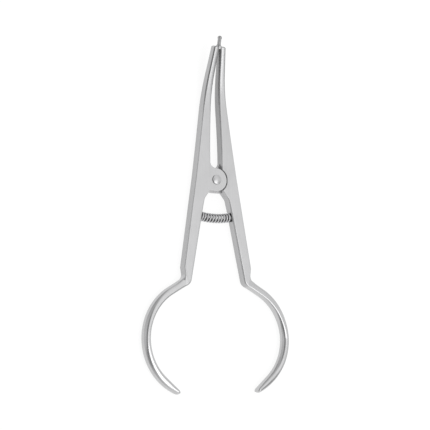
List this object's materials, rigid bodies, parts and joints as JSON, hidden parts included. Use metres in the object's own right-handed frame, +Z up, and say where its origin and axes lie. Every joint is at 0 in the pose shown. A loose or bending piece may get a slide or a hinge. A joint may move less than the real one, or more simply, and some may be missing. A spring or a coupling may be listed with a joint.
{
  "type": "orthodontic separating pliers",
  "caption": "Sprung pliers with open finger bows. Squeezing the bows spreads a split round prong that stretches an elastic ring to place it between teeth.",
  "frame": {"origin": "on the rivet's axis, in the plane of the underside on which the pliers lie", "axes": "+X across towards the right arm, +Y along the pliers towards the beak tips, +Z up, out of the rivet's domed head"},
  "size_m": [0.0692, 0.1487, 0.0099],
  "materials": {
    "arms": "satin stainless steel, bows polished",
    "rivet": "polished stainless steel",
    "spring": "bright drawn spring steel wire",
    "studs": "turned stainless steel"
  },
  "bodies": {
    "left": {"left_arm": "arms", "pivot_rivet": "rivet", "return_spring": "spring", "left_spring_stud": "studs"},
    "right": {"right_arm": "arms", "right_spring_stud": "studs"}
  },
  "joints": [
    {"name": "pivot", "type": "hinge", "parent": "left", "child": "right", "pos_m": [0, 0, 0], "axis": [0, 0, -1], "range_deg": [0, 13], "stiffness_Nm_per_rad": 1.6, "springref_deg": -14.32, "deforming": ["return_spring"]}
  ]
}
